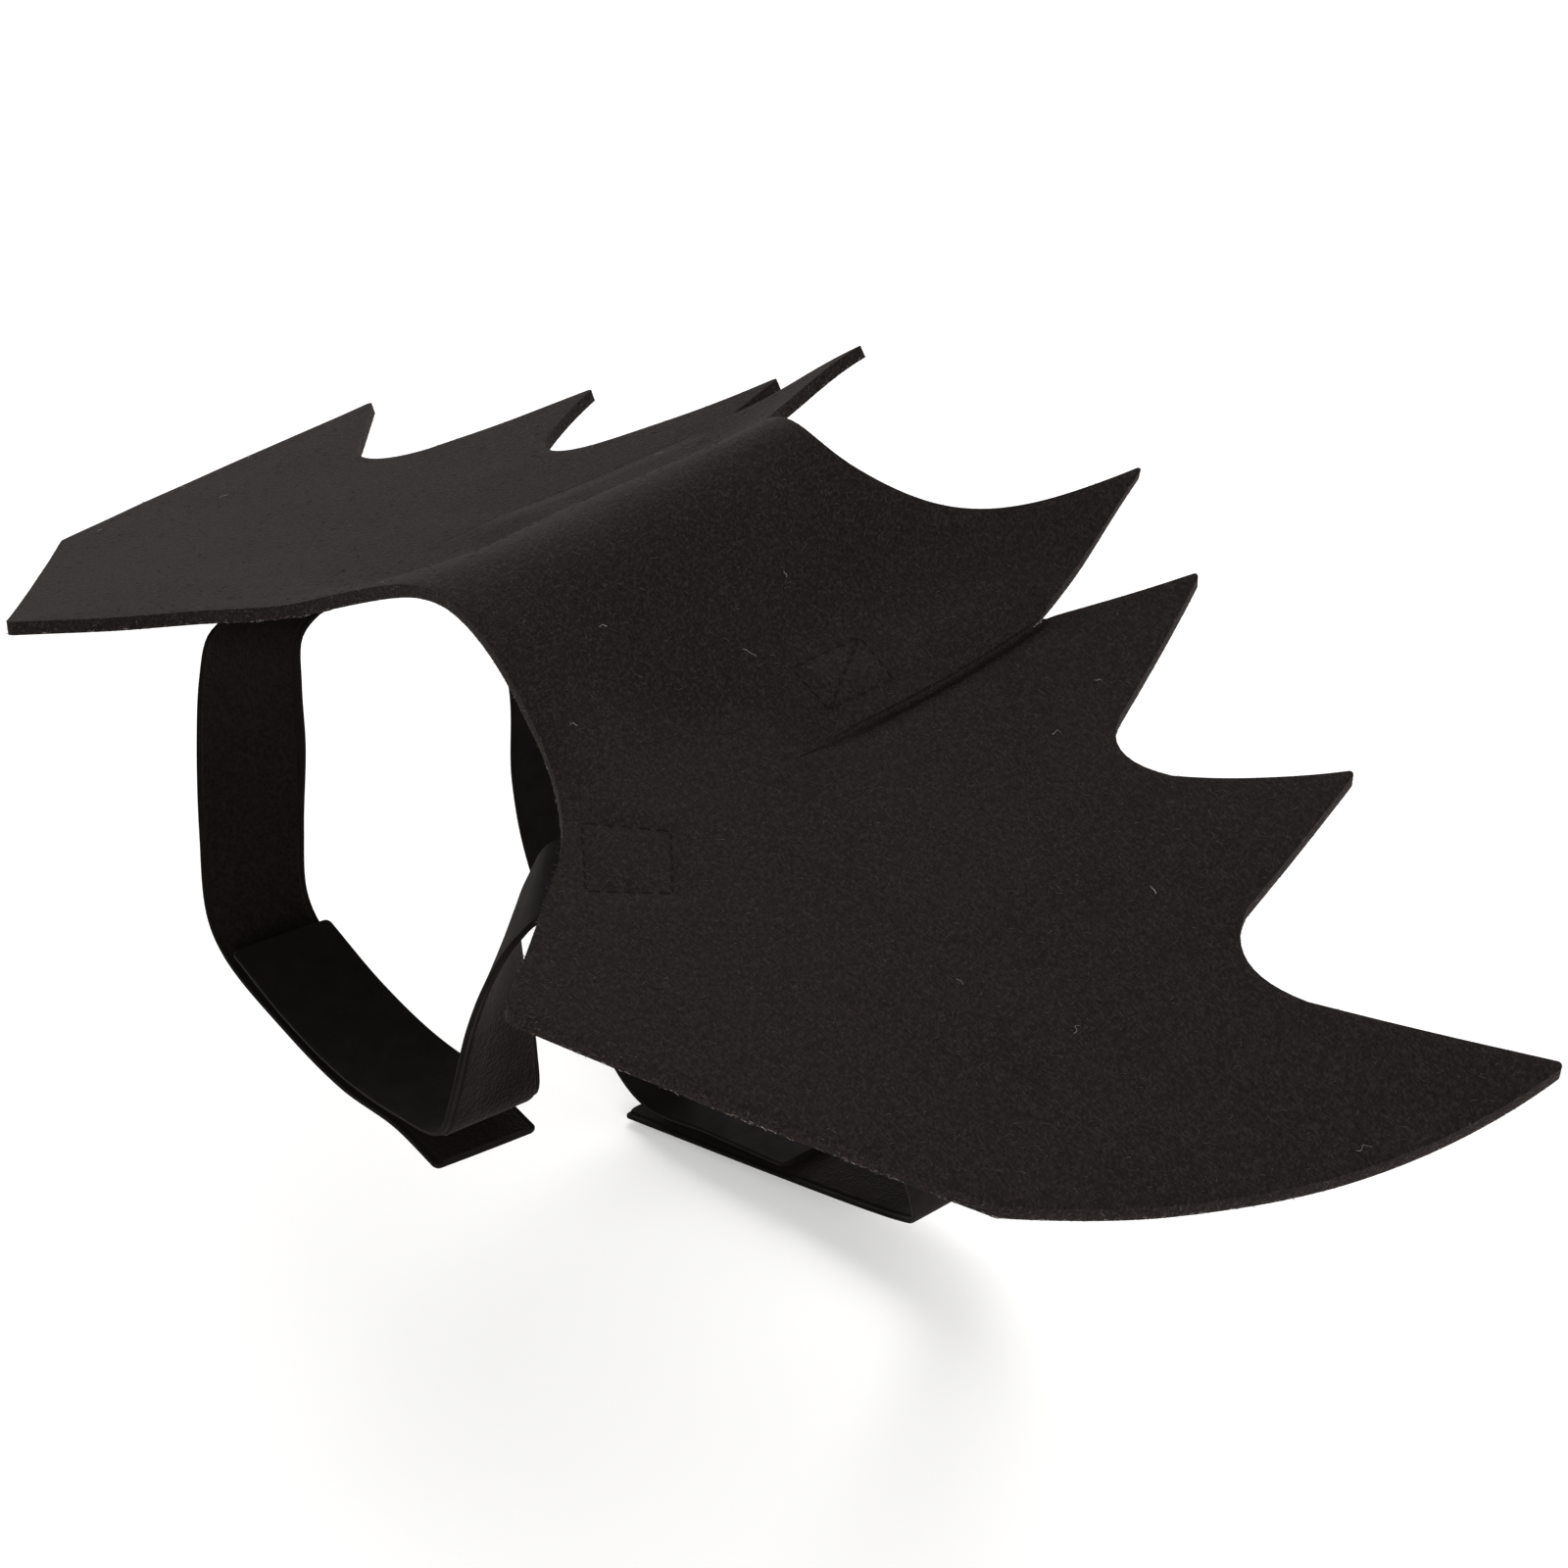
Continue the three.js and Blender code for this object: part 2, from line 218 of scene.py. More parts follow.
wing_line = [Vector((p.x + lap_reach(p.y), p.y)) for p in arcs(CUT_EDGE)]
apex = Vector((seam_x(DART_APEX_Y), DART_APEX_Y))
slit_line = slit_side(SLIT / 2)[::-1] + [apex] + slit_side(-SLIT / 2)
tail_middle = Vector((PANEL_EDGE[-1].x, PANEL_EDGE[-1].y))
left_side = wing_line + slit_line + arcs(PANEL_EDGE) + [tail_middle]
right_side = [Vector((-p.x, p.y)) for p in left_side[-2:0:-1]]
print("points before the rounding", len(left_side + right_side))

# %% Round the sharp points
TIP_CUT = 2.0  # a sharp point is rounded from this far back on both sides of its corner
TIP_STEPS = 6
TIP_CLEAR = 2.6  # other points of the outline nearer to a corner than this are left out
SHARP = math.radians(120)  # a corner narrower than this is a sharp point


def is_slit(p):
    """Whether a point of the outline lies on the sewn slit of a dart."""
    return DART_APEX_Y - 1 < p[1] < LAP_END_Y + 1 and abs(abs(p[0]) - seam_x(p[1])) < 2 * SLIT


def is_sharp(before, here, after):
    """Whether the outline turns sharply here, other than on the slit of a dart."""
    return (before - here).angle(after - here) < SHARP and not is_slit(here)


def tip_arc(before, here, after):
    """A small arc in place of a sharp point."""
    back, on = (before - here).normalized(), (after - here).normalized()
    centre = here + (back + on).normalized() * TIP_CUT / math.cos(back.angle(on) / 2)
    first, last = here + back * TIP_CUT - centre, here + on * TIP_CUT - centre
    swing = -first.angle_signed(last)
    return [centre + Matrix.Rotation(swing * i / TIP_STEPS, 2) @ first for i in range(TIP_STEPS + 1)]


def blunted(points):
    """The outline with its sharp points rounded."""
    turns = list(zip(points[-1:] + points, points, points[1:] + points[:1]))
    tips = [here for before, here, after in turns if is_sharp(before, here, after)]
    rounded = []
    for before, here, after in turns:
        from_tip = min((here - tip).length for tip in tips)
        if from_tip == 0:
            rounded += tip_arc(before, here, after)
        elif from_tip > TIP_CLEAR:
            rounded.append(here)
    return rounded


outline = blunted(left_side + right_side)
print("points round the flat cut", len(outline))

# %% [markdown]
# Laying the felt over the back
#
# Worn, the sheet is a saddle: it runs over a ridge along the back, falls to a fold and goes out as a wing.
# A cloth simulation could drape it, but stiff felt with sewn darts keeps one shape, easy to write down.
# So the height of the felt is a function of the place seen from above, and the sheet is laid on it.
# The panel is the upper layer of each dart and the wing the lower one.

# %% Heights of the laid felt, in millimetres
RIDGE_HEIGHT = 1.55
RIDGE_RISE = 0.2
PANEL_FLARE = 0.0012  # how the panel flattens away from the ridge
WING_ROOT_X = 66.5
WING_HEIGHT = -27.9
WING_DROOP = 0.222
WING_PITCH = 0.078
WING_CURL = 0.00086
FOLD_BLEND = 3.0  # roundness of the fold between panel and wing
LAP_RISE = 3.15  # how far the panel lies above the wing where they lap
LAP_RAMP = 18.0  # stretch from the apex in which the panel rises that far
PRESS_WIDTH = 6.0  # width of the edge of the panel that the seam presses flat
GROOVE = 0.7  # how far the wing dips below the sewn edge of the panel
GROOVE_WIDTH = 1.6
SWELL = 0.22  # height of the slow unevenness of soft felt
SWELL_LENGTH = 21.0

Fall = namedtuple("Fall", "y slope ridge_round")
PANEL_FALL = [
    Fall(-47, 0.62, 27.3),
    Fall(-15, 0.875, 22.4),
    Fall(45, 0.787, 8.8),
    Fall(104, 0.566, 8),
]
print("steepest slope of the panel", max(row.slope for row in PANEL_FALL))


# %% The height of the felt at a place
def panel_fall(y):
    """Slope of the body panel and roundness of its ridge, at one place along the back."""
    passed = sum(y >= row.y for row in PANEL_FALL[1:-1])
    low, high = PANEL_FALL[passed:passed + 2]
    part = ease(low.y, high.y, y)
    slope = low.slope + part * (high.slope - low.slope)
    return slope, low.ridge_round + part * (high.ridge_round - low.ridge_round)


def sewn(y):
    """How firmly the dart is sewn down, from 0 at its apex to 1."""
    begun = ease(DART_APEX_Y, DART_APEX_Y + LAP_RAMP, y)
    return begun * (1 - ease(DART_MOUTH_Y, DART_MOUTH_Y + PRESS_WIDTH, y))


def felt_height(x, y, is_panel):
    """Height of the middle of the felt."""
    slope, ridge_round = panel_fall(y)
    lap = LAP_RISE * ease(DART_APEX_Y, DART_APEX_Y + LAP_RAMP, y)
    reach = math.hypot(x, ridge_round) - ridge_round
    fall = slope * reach - PANEL_FLARE * reach * reach
    panel = RIDGE_HEIGHT + RIDGE_RISE * y - fall - lap
    wing = WING_HEIGHT - WING_DROOP * (abs(x) - WING_ROOT_X) + WING_PITCH * y + WING_CURL * y * y
    lower = (panel + wing + math.hypot(panel - wing, FOLD_BLEND)) / 2
    swell = SWELL * noise.noise(Vector((x, y, 0)) / SWELL_LENGTH)
    groove = GROOVE * sewn(y) * math.exp(-(((abs(x) - seam_x(y)) / GROOVE_WIDTH) ** 2))
    return lower + swell + (lap if is_panel else -groove)


print("ridge at the tail in mm", round(felt_height(0, 45, True), 1))
print("wing tip in mm", round(felt_height(207, 60, False), 1))

# %% Where a point of the flat cut comes to lie
PRESS = 0.55  # share of the panel's thickness that the seam presses out of its edge
TUCK = 1.6  # how far the edge of the wing is pushed under the panel beside the apex
TUCK_LENGTH = 5.0


def pressed(x, y, is_panel):
    """Share of the thickness that the seam takes off the top of the panel along its edge."""
    from_edge = max(seam_x(y) - abs(x), 0) / PRESS_WIDTH
    return PRESS * sewn(y) * math.exp(-from_edge * from_edge) if is_panel else 0.0


def felt_normal(x, y, is_panel):
    """Direction square to the felt."""
    d = 0.5
    slope_x = (felt_height(x + d, y, is_panel) - felt_height(x - d, y, is_panel)) / (2 * d)
    slope_y = (felt_height(x, y + d, is_panel) - felt_height(x, y - d, is_panel)) / (2 * d)
    return Vector((-slope_x, -slope_y, 1)).normalized()


def off_felt(x, y, is_panel, offset):
    """A point at some distance off the middle of the felt."""
    return Vector((x, y, felt_height(x, y, is_panel))) + felt_normal(x, y, is_panel) * offset


def worn_place(p):
    """Where a point of the flat cut comes to lie, seen from above, and whether it is on the panel."""
    is_panel = abs(p.x) < seam_x(p.y)
    if is_panel:
        return p.x, p.y, True
    tuck = TUCK * sewn(p.y) * math.exp((seam_x(p.y) - abs(p.x)) / TUCK_LENGTH)
    return math.copysign(abs(p.x) - lap_reach(p.y) - tuck, p.x), p.y, False


print("cut edge at x 80 comes to lie at x", round(worn_place(Vector((80, 50)))[0], 1))

# %% [markdown]
# Rows of stitching
#
# Each strap end is sewn under the felt by a small box of stitches in black thread.
# The belly straps are sewn alike on both sides. The neck straps differ a little, so each has its own rows.
# The thread pulls the felt down, so the rows are needed before the sheet is made: it is thinner along them.

# %% Mark the rows of stitches, seen from above
STITCH_PITCH = 3.2
PINCH_WIDTH = 2.0
PINCH_DEPTH = 0.3  # share of the thickness that the thread takes away
PINCH_END = 9.0  # further from a row than this the thread doesn't pull
RIGHT_PULL = 0.3  # how hard the thread pulls on the right side, where it is sewn more loosely

Row = namedtuple("Row", "name start end is_panel")
LEFT_NECK_ROWS = [
    Row("neck_front", (62, -52.2), (78.4, -62.5), False),
    Row("neck_outer", (78.4, -62.5), (85.9, -48.3), False),
    Row("neck_back", (85.9, -48.3), (71.3, -38.3), False),
    Row("neck_inner", (71.3, -38.3), (62, -52.2), False),
]
RIGHT_NECK_ROWS = [
    Row("neck_front", (-57.4, -43.6), (-71.5, -52.9), False),
    Row("neck_outer", (-71.5, -52.9), (-76.3, -45.5), False),
    Row("neck_back", (-76.3, -45.5), (-62.2, -36.2), False),
    Row("neck_inner", (-62.2, -36.2), (-57.4, -43.6), False),
]
LEFT_BELLY_ROWS = [
    Row("belly_front", (46.8, 9.4), (59.8, 8.8), True),
    Row("belly_outer", (59.8, 8.8), (59.8, 24.7), True),
    Row("belly_back", (59.8, 24.7), (46.8, 26.4), True),
    Row("belly_inner", (46.8, 26.4), (46.8, 9.4), True),
    Row("belly_cross", (59.8, 8.8), (46.8, 26.4), True),
]


def mirrored(row):
    """The same row on the other side."""
    return Row(row.name, (-row.start[0], row.start[1]), (-row.end[0], row.end[1]), row.is_panel)


right_belly_rows = [mirrored(row) for row in LEFT_BELLY_ROWS]
stitch_rows = LEFT_NECK_ROWS + RIGHT_NECK_ROWS + LEFT_BELLY_ROWS + right_belly_rows
Stitch = namedtuple("Stitch", "x y turn is_panel")
stitches = []
for row in stitch_rows:
    start, end = Vector(row.start), Vector(row.end)
    count = round((end - start).length / STITCH_PITCH)
    for i in range(count):
        middle = start.lerp(end, (i + 0.5) / count)
        turn = math.atan2(end.y - start.y, end.x - start.x)
        stitches.append(Stitch(middle.x, middle.y, turn, row.is_panel))
print("rows", len(stitch_rows), "and stitches", len(stitches))

# %% How thin the felt is along a row
FELT = 3.0  # thickness of the felt


def pinch(x, y, is_panel):
    """Share of the felt's thickness that is left beside the stitches."""
    here = Vector((x, y))
    nearest = PINCH_END
    for row in stitch_rows:
        if row.is_panel == is_panel or y < DART_APEX_Y:
            start, end = Vector(row.start), Vector(row.end)
            part = (here - start).dot(end - start) / (end - start).length_squared
            foot = start.lerp(end, min(max(part, 0), 1))
            nearest = min(nearest, (here - foot).length)
    pull = 1 if x > 0 else RIGHT_PULL
    return 1 - PINCH_DEPTH * pull * math.exp(-((nearest / PINCH_WIDTH) ** 2))


def upper_face(x, y, is_panel):
    """Distance of the upper face of the felt from the middle of the sheet."""
    return FELT * (pinch(x, y, is_panel) / 2 - pressed(x, y, is_panel))


def lower_face(x, y, is_panel):
    """Distance of the lower face, below the middle."""
    return -FELT * pinch(x, y, is_panel) / 2


on_row, away = upper_face(62, -52.2, False), upper_face(150, 0, False)
print("upper face on a row", round(on_row, 2), "and away from it", round(away, 2))

# %% [markdown]
# The felt sheet
#
# A sheet needs even triangles, so that it bends without creases of its own.
# Points are strewn in even rows inside the cut outline, and Blender's constrained triangulation joins them.
# Then every point is laid on its height, and Solidify gives the sheet its thickness.
# Solidify reads a vertex group as a share of the thickness, which presses the stitch rows in.
# A small Bevel softens the cut edge, because fibres round off a blade's sharp corner.

# %% Make the flat sheet and lay it
LATTICE = 2.2
EDGE_CLEAR = 0.6 * LATTICE  # the strewn points keep this far from the outline


def inside(points, ring):
    """For each point, whether it lies inside a closed outline."""
    x, y = points[:, 0:1], points[:, 1:2]
    ax, ay = ring[:, 0], ring[:, 1]
    bx, by = np.roll(ax, -1), np.roll(ay, -1)
    with np.errstate(divide="ignore", invalid="ignore"):
        crosses = ((ay > y) != (by > y)) & (x < ax + (y - ay) * (bx - ax) / (by - ay))
    return crosses.sum(axis=1) % 2 == 1


ring = np.array([p[:] for p in outline])
low, high = ring.min(axis=0), ring.max(axis=0)
strewn = []
for row_number, y in enumerate(np.arange(low[1], high[1], LATTICE * math.sqrt(3) / 2)):
    half_row = np.arange((row_number % 2) * LATTICE / 2, high[0], LATTICE)
    strewn += [(x, y) for x in np.concatenate([-half_row[half_row > 0][::-1], half_row])]
strewn = np.array(strewn)
strewn = strewn[inside(strewn, ring)]
clear = np.array([np.hypot(*(ring - p).T).min() > EDGE_CLEAR for p in strewn])
flat_points = outline + [Vector(p) for p in strewn[clear]]
rim = [(i, (i + 1) % len(outline)) for i in range(len(outline))]
flat, _, flat_faces, _, _, _ = geometry.delaunay_2d_cdt(flat_points, rim, [], 1, 1e-6)


def mesh_piece(name, places, faces):
    """An object at the origin, from corners in millimetres."""
    mesh = bpy.data.meshes.new(name)
    mesh.from_pydata((np.array(places) * MM).tolist(), [], faces)
    mesh.update()
    piece = bpy.data.objects.new(name, mesh)
    bpy.context.scene.collection.objects.link(piece)
    return piece


worn = [worn_place(p) for p in flat]
middles = [(upper_face(*place) + lower_face(*place)) / 2 for place in worn]
felt = mesh_piece("felt_wings", [off_felt(*place, m)[:] for place, m in zip(worn, middles)], flat_faces)

# %% Give the sheet its thickness
EDGE_SOFTNESS = 0.7


def choose(piece):
    """Make one object the only selected one."""
    bpy.ops.object.select_all(action="DESELECT")
    piece.select_set(True)
    bpy.context.view_layer.objects.active = piece


def finish_with(piece, kind, **settings):
    """Add a modifier and apply it."""
    modifier = piece.modifiers.new(kind.lower(), kind)
    for setting, value in settings.items():
        setattr(modifier, setting, value)
    choose(piece)
    bpy.ops.object.modifier_apply(modifier=modifier.name)


thickness = felt.vertex_groups.new(name="thickness")
for i, place in enumerate(worn):
    thickness.add([i], (upper_face(*place) - lower_face(*place)) / FELT, "REPLACE")
finish_with(felt, "SOLIDIFY", thickness=FELT * MM, offset=0, vertex_group="thickness")
finish_with(felt, "BEVEL", width=EDGE_SOFTNESS * MM, segments=3, limit_method="ANGLE",
            angle_limit=math.radians(55))
choose(felt)
bpy.ops.object.shade_smooth_by_angle(angle=math.radians(50))
print("felt faces", len(felt.data.polygons))

# %% [markdown]
# The strap tapes
#
# The straps are hook-and-loop tape: a woven band 25 mm wide, with a raised field of loops on one face.
# A curve with a bevel profile could carry such a band, but it would twist by itself where the tape turns.
# So the two edges of each tape are given as rows of points, with smooth curves through them.
# The section of the tape is then swept between the two edges, and its free end is cut with round corners.

# %% Rows of the strap edges, in millimetres
STRAP = 1.8
STRAP_WIDTH = 25.0
SEWN_GAP = 0.15
LAP_CLEAR = 3.0  # a strap edge nearer to the lap than this lies under its lower layer

Section = namedtuple("Section", "head tail")
NECK_LEFT = [
    Section((91.8, -53.4), (73.8, -38.9)),
    Section((86.8, -59.6), (68.8, -45.1)),
    Section((81.8, -65.8), (63.8, -51.3)),
    Section((77, -71, -35), (59.5, -56.5, -31)),
    Section((73, -74, -40), (53.5, -58, -40)),
    Section((66, -76, -51), (48, -58, -51)),
    Section((58, -76.5, -66), (45.5, -56, -65)),
    Section((50, -77, -87), (45, -53.5, -85)),
    Section((44.5, -77, -96.5), (43.5, -53, -96.5)),
    Section((27, -77, -101), (27, -53, -101)),
    Section((5, -77, -103), (5, -53, -103)),
    Section((-18, -77, -100.6), (-18, -53, -100.6)),
    Section((-40, -77, -95), (-40, -53, -95)),
]
NECK_RIGHT = [
    Section((-80, -45.9), (-60.3, -33)),
    Section((-77, -50.5), (-57.3, -37.6)),
    Section((-74, -55.2), (-54.3, -42.3)),
    Section((-72.9, -60, -36.2), (-52, -48, -31.8)),
    Section((-72.6, -63, -45.3), (-50.3, -50, -42.3)),
    Section((-69.5, -66.5, -58.5), (-48.7, -51, -56)),
    Section((-60, -72.5, -75.4), (-49, -52.5, -75)),
    Section((-51.5, -76.5, -90.5), (-48, -53.5, -91)),
    Section((-44, -77, -97), (-43, -53, -98)),
    Section((-18, -77, -103.3), (-18, -53, -103.3)),
    Section((5, -77, -105.6), (5, -53, -105.6)),
    Section((27, -77, -103.7), (27, -53, -103.7)),
    Section((43.5, -77.5, -104.6), (43, -53, -105.4)),
]
BELLY_LEFT = [
    Section((46, 3), (46, 28)),
    Section((53, 3), (53, 28)),
    Section((60, 3), (60, 28)),
    Section((64, 5, -39), (64, 29.5, -36)),
    Section((63.5, 10, -65), (63.5, 34.5, -61)),
    Section((64, 14, -90), (64, 38.5, -86)),
    Section((62, 20, -115), (62, 44.5, -111)),
    Section((54, 37, -156), (54, 61.5, -153)),
    Section((50.4, 40.4, -164), (50.4, 64.9, -161.6)),
    Section((44, 41.6, -167.6), (44, 66.1, -165.6)),
    Section((34, 40.2, -169.7), (34, 64.7, -167.7)),
    Section((2, 35, -174.5), (2, 59.5, -172.5)),
    Section((-44, 26.5, -180), (-44, 51, -178)),
]
BELLY_RIGHT = [
    Section((-46, 3), (-46, 28)),
    Section((-53, 3), (-53, 28)),
    Section((-60, 3), (-60, 28)),
    Section((-63.5, 5, -39), (-63.5, 29.5, -36)),
    Section((-62, 9.6, -65), (-62, 34, -61)),
    Section((-62, 9.3, -89), (-62, 34, -85)),
    Section((-60, 12, -113), (-60, 36.5, -109)),
    Section((-49, 23.6, -161), (-49, 48.1, -158)),
    Section((-39, 28, -174.5), (-39, 52.5, -172.5)),
    Section((-16, 32, -172.9), (-16, 56.5, -170.9)),
    Section((8, 36, -170.9), (8, 60.5, -168.9)),
]
print("sections", [len(rows) for rows in (NECK_LEFT, NECK_RIGHT, BELLY_LEFT, BELLY_RIGHT)])

# %% Smooth edge curves through the rows
CURVE_STEPS = 24


def edge_place(place):
    """A point of a strap edge: sewn under the lowest layer of felt, or hanging free."""
    if len(place) == 3:
        return np.array(place, float)
    x, y = place
    is_panel = abs(x) < seam_x(y) - lap_reach(y) - LAP_CLEAR
    return np.array(off_felt(x, y, is_panel, -(FELT + STRAP) / 2 - SEWN_GAP))


def smooth_curve(places):
    """Points on a smooth curve that passes through each place and doesn't swing out between them."""
    knots = np.array([2 * places[0] - places[1], *places, 2 * places[-1] - places[-2]])
    steps = np.sqrt(np.linalg.norm(np.diff(knots, axis=0), axis=1))
    t = np.linspace(0, 1, CURVE_STEPS, endpoint=False)[:, None]
    spans = []
    for i in range(1, len(knots) - 2):
        before, here, after, beyond = knots[i - 1:i + 3]
        d0, d1, d2 = steps[i - 1:i + 2]
        leave = d1 * ((here - before) / d0 - (after - before) / (d0 + d1) + (after - here) / d1)
        arrive = d1 * ((after - here) / d1 - (beyond - here) / (d1 + d2) + (beyond - after) / d2)
        bend = 3 * (after - here) - 2 * leave - arrive
        spans.append(here + leave * t + bend * t ** 2 + (2 * (here - after) + leave + arrive) * t ** 3)
    return np.vstack(spans + [places[-1]])


head_edge = smooth_curve([edge_place(row.head) for row in NECK_LEFT])
print("length of one strap edge in mm", round(np.linalg.norm(np.diff(head_edge, axis=0), axis=1).sum(), 1))

# %% The section of the tape
LOOP_FIELD = 10.9  # half the width of the raised loops

Profile = namedtuple("Profile", "across height")
TAPE_PROFILE = [
    Profile(-12.5, 0.0),
    Profile(-12.3, 0.28),
    Profile(-11.2, 0.3),
    Profile(-LOOP_FIELD, 0.72),
    Profile(-10.3, 0.9),
    Profile(-5.0, 0.9),
    Profile(0.0, 0.9),
    Profile(5.0, 0.9),
    Profile(10.3, 0.9),
    Profile(LOOP_FIELD, 0.72),
    Profile(11.2, 0.3),
    Profile(12.3, 0.28),
    Profile(12.5, 0.0),
    Profile(12.5, -0.55),
    Profile(12.2, -0.84),
    Profile(5.0, -0.9),
    Profile(0.0, -0.9),
    Profile(-5.0, -0.9),
    Profile(-12.2, -0.84),
    Profile(-12.5, -0.55),
]
LOOP_SPANS = range(3, 9)  # the stretches of the section that carry the loops
print("points round the section", len(TAPE_PROFILE))

# %% Sweep the section along each strap
TAPE_STEP = 1.6
END_ROUND = 1.2  # radius of the corners at the free end


def at_stops(line, run, stops):
    """Points of a line at some distances along the tape."""
    return np.array([np.interp(stops, run, line[:, k]) for k in range(3)]).T


def tape(name, rows, loop_side):
    """A length of tape between two edge curves, with its loops on one side."""
    head = smooth_curve([edge_place(row.head) for row in rows])
    tail = smooth_curve([edge_place(row.tail) for row in rows])
    middle = (head + tail) / 2
    run = np.concatenate([[0], np.cumsum(np.linalg.norm(np.diff(middle, axis=0), axis=1))])
    length = run[-1]
    near_end = length - END_ROUND * np.array([0.7, 0.4, 0.15, 0])
    stops = np.concatenate([np.linspace(0, length - END_ROUND, round(length / TAPE_STEP)), near_end])
    head, tail = at_stops(head, run, stops), at_stops(tail, run, stops)
    along = np.gradient((head + tail) / 2, stops, axis=0)
    out = loop_side * np.cross(tail - head, along)
    out /= np.linalg.norm(out, axis=1)[:, None]
    centre, half = (head + tail) / 2, (tail - head) / STRAP_WIDTH
    cut = np.clip(END_ROUND - (length - stops), 0, END_ROUND)
    trim = 1 - (END_ROUND - np.sqrt(END_ROUND ** 2 - cut ** 2)) * 2 / STRAP_WIDTH
    order = TAPE_PROFILE if loop_side > 0 else TAPE_PROFILE[::-1]
    places = [centre[i] + half[i] * trim[i] * p.across + out[i] * p.height
              for i in range(len(stops)) for p in order]
    size = len(order)
    faces = [(i * size + k, i * size + (k + 1) % size, (i + 1) * size + (k + 1) % size, (i + 1) * size + k)
             for i in range(len(stops) - 1) for k in range(size)]
    faces += [tuple(range(size))[::-1], tuple(range((len(stops) - 1) * size, len(stops) * size))]
    piece = mesh_piece(name, places, faces)
    layer = piece.data.uv_layers.new(name="tape_run")
    for corner in piece.data.loops:
        section, k = divmod(corner.vertex_index, size)
        layer.data[corner.index].uv = (order[k].across * MM, stops[section] * MM)
    choose(piece)
    bpy.ops.object.mode_set(mode="EDIT")
    bpy.ops.mesh.select_all(action="SELECT")
    bpy.ops.mesh.normals_make_consistent(inside=False)
    bpy.ops.object.mode_set(mode="OBJECT")
    bpy.ops.object.shade_smooth_by_angle(angle=math.radians(35))
    return piece, length


Strap = namedtuple("Strap", "name node rows loop_side")
STRAPS = [
    Strap("neck_tape_left", "neck_strap_left", NECK_LEFT, -1),
    Strap("neck_tape_right", "neck_strap_right", NECK_RIGHT, -1),
    Strap("belly_tape_left", "belly_strap_left", BELLY_LEFT, 1),
    Strap("belly_tape_right", "belly_strap_right", BELLY_RIGHT, 1),
]
tapes = {}
tape_length = {}
for strap in STRAPS:
    tapes[strap.name], tape_length[strap.name] = tape(strap.name, strap.rows, strap.loop_side)
    print(strap.name, "length in mm", round(tape_length[strap.name], 1))

# %% [markdown]
# The stitches
#
# A lockstitch shows on each face as a short raised length of thread between two needle holes.
# One stitch is modelled by hand: a torus is squashed to a low arch, and its lower half stays in the cloth.
# It is then copied along the rows, once on the felt and once under the tape, and all copies are joined.

# %% Model one stitch
THREAD = 0.42  # thickness of the thread
STITCH_REACH = 0.45  # half the length of a stitch, as a share of the pitch
STITCH_ARCH = 0.42  # height that is left of the squashed torus

bpy.ops.object.select_all(action="DESELECT")
bpy.ops.mesh.primitive_torus_add(major_radius=STITCH_REACH * STITCH_PITCH * MM, minor_radius=THREAD / 2 * MM,
                                 major_segments=12, minor_segments=6, rotation=(math.pi / 2, 0, 0))
model_stitch = bpy.context.object
bpy.ops.object.transform_apply(rotation=True)
bpy.ops.object.mode_set(mode="EDIT")
bpy.ops.mesh.select_all(action="SELECT")
bpy.ops.transform.resize(value=(1, 1, STITCH_ARCH))
bpy.ops.object.mode_set(mode="OBJECT")
bpy.ops.object.shade_smooth()
print("faces of one stitch", len(model_stitch.data.polygons))

# %% Copy the stitch along the rows
STITCH_SINK = 0.36  # how deep the middle of a stitch lies in the cloth
RIGHT_SINK = 0.72  # the same on the right side, where the thread hardly shows
UNDER_TAPE = -(FELT / 2 + SEWN_GAP + STRAP)
copies = []
for stitch in stitches:
    x, y, turn, is_panel = stitch
    on_top = upper_face(x, y, is_panel) - (STITCH_SINK if x > 0 else RIGHT_SINK)
    for offset in (on_top, UNDER_TAPE + STITCH_SINK):
        normal = felt_normal(x, y, is_panel)
        along = Vector((math.cos(turn), math.sin(turn), 0))
        along = (along - normal * along.dot(normal)).normalized()
        place = off_felt(x, y, is_panel, offset) * MM
        turned = Matrix((along, normal.cross(along), normal)).transposed()
        twin = model_stitch.copy()
        twin.data = model_stitch.data.copy()
        twin.matrix_world = Matrix.Translation(place) @ turned.to_4x4()
        bpy.context.scene.collection.objects.link(twin)
        copies.append(twin)
bpy.data.objects.remove(model_stitch)
choose(copies[0])
for twin in copies:
    twin.select_set(True)
bpy.ops.object.join()
thread = bpy.context.object
thread.name = "stitch_thread"
bpy.ops.object.transform_apply(location=True, rotation=True, scale=True)
print("stitches on both faces", len(copies), "faces", len(thread.data.polygons))

# %% [markdown]
# Fibres and lint
#
# Needled felt is a mat of short fibres. Some lie loose on its faces and catch the light as fine flecks.
# More of them stand out of the cut edge, and a little pale lint clings to any black cloth.
# A hair system would make them too, but small closed slips of mesh also reach an exported model.
# They are built together from arrays, each one a thin three-sided thread that tapers to its end.

# %% A helper that builds many fibres at once
dice = np.random.default_rng(31)


def unit(vectors):
    """Vectors of length one."""
    return vectors / np.linalg.norm(vectors, axis=1)[:, None]


